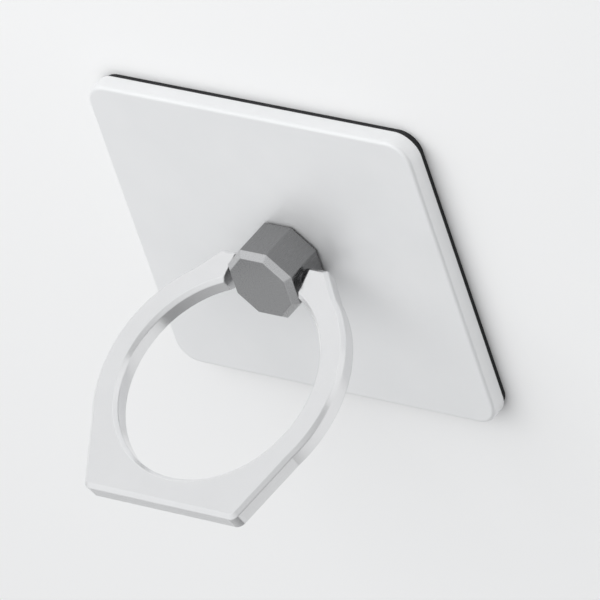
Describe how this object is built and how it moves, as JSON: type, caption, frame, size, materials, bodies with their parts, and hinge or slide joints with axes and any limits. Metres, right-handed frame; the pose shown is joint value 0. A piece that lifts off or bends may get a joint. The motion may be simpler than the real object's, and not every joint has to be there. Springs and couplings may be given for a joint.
{
  "type": "phone holder",
  "caption": "Finger-ring phone holder: adhesive metal plate, octagonal hub that turns, and a folding ring whose flat foot props the phone up.",
  "frame": {"origin": "centre of the adhesive pad's sticky back face, which lies on the surface that the holder is stuck to or rests on", "axes": "+Z out of the plate's front face; X along the plate's 40 mm side, which is also the hinge axis and the line of the ring's foot; -Y towards the side that the ring is folded to"},
  "size_m": [0.04, 0.035, 0.0302],
  "materials": {
    "pad_foam": "matt black foam tape",
    "plate_metal": "satin anodised silver",
    "ring_metal": "bright plated, smooth",
    "hub_metal": "grey nickel, satin",
    "steel": "bright steel",
    "nylon": "natural nylon",
    "black_nylon": "black nylon"
  },
  "bodies": {
    "base": {"adhesive_pad": "pad_foam", "base_plate": "plate_metal", "cover_disc": "steel", "stem_bush": "nylon"},
    "hub": {"hub_block": "hub_metal", "thrust_washer": "black_nylon", "spring_washer": "steel", "riveted_collar": "steel", "pin_bush_left": "black_nylon", "pin_bush_right": "black_nylon"},
    "folding_ring": {"ring": "ring_metal", "hinge_pin_left": "steel", "hinge_pin_right": "steel"}
  },
  "joints": [
    {"name": "hub_swivel", "type": "hinge", "parent": "base", "child": "hub", "pos_m": [0, 0, 0.0026], "axis": [0, 0, 1], "continuous": true},
    {"name": "ring_fold", "type": "hinge", "parent": "hub", "child": "folding_ring", "pos_m": [0, 0, 0.0052], "axis": [-1, 0, 0], "range_deg": [-67.5, 112.5]}
  ]
}
